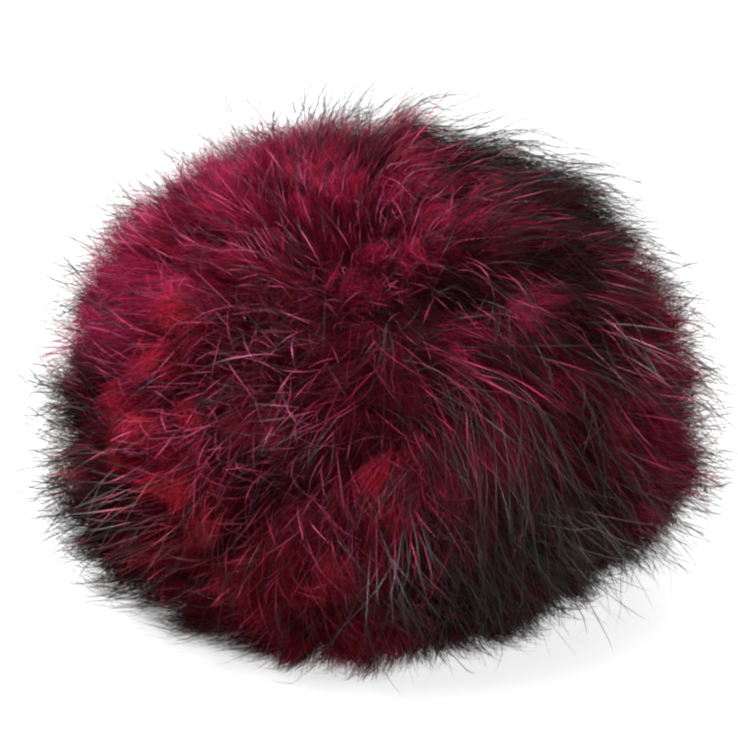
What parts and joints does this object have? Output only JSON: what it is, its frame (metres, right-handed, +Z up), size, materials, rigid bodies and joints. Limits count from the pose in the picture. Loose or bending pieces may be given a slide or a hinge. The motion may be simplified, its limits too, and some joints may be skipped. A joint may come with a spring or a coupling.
{
  "type": "fur pom pom",
  "caption": "Soft, slightly flattened ball of long, dyed fur with dark guard hairs combed away from a whorl, resting on a small pressed-flat spot.",
  "frame": {"origin": "middle of the ball's footprint on the surface it rests on", "axes": "+X to the ball's right along its widest extent, +Y towards its back, +Z up"},
  "size_m": [0.1304, 0.1244, 0.1048],
  "materials": {
    "dyed_fur": "long silky fur: crimson to magenta dyed underfur, wine-red body, black and charcoal guard-hair tips, low soft sheen"
  },
  "bodies": {
    "root": {"fur_ball": "dyed_fur"}
  },
  "joints": []
}
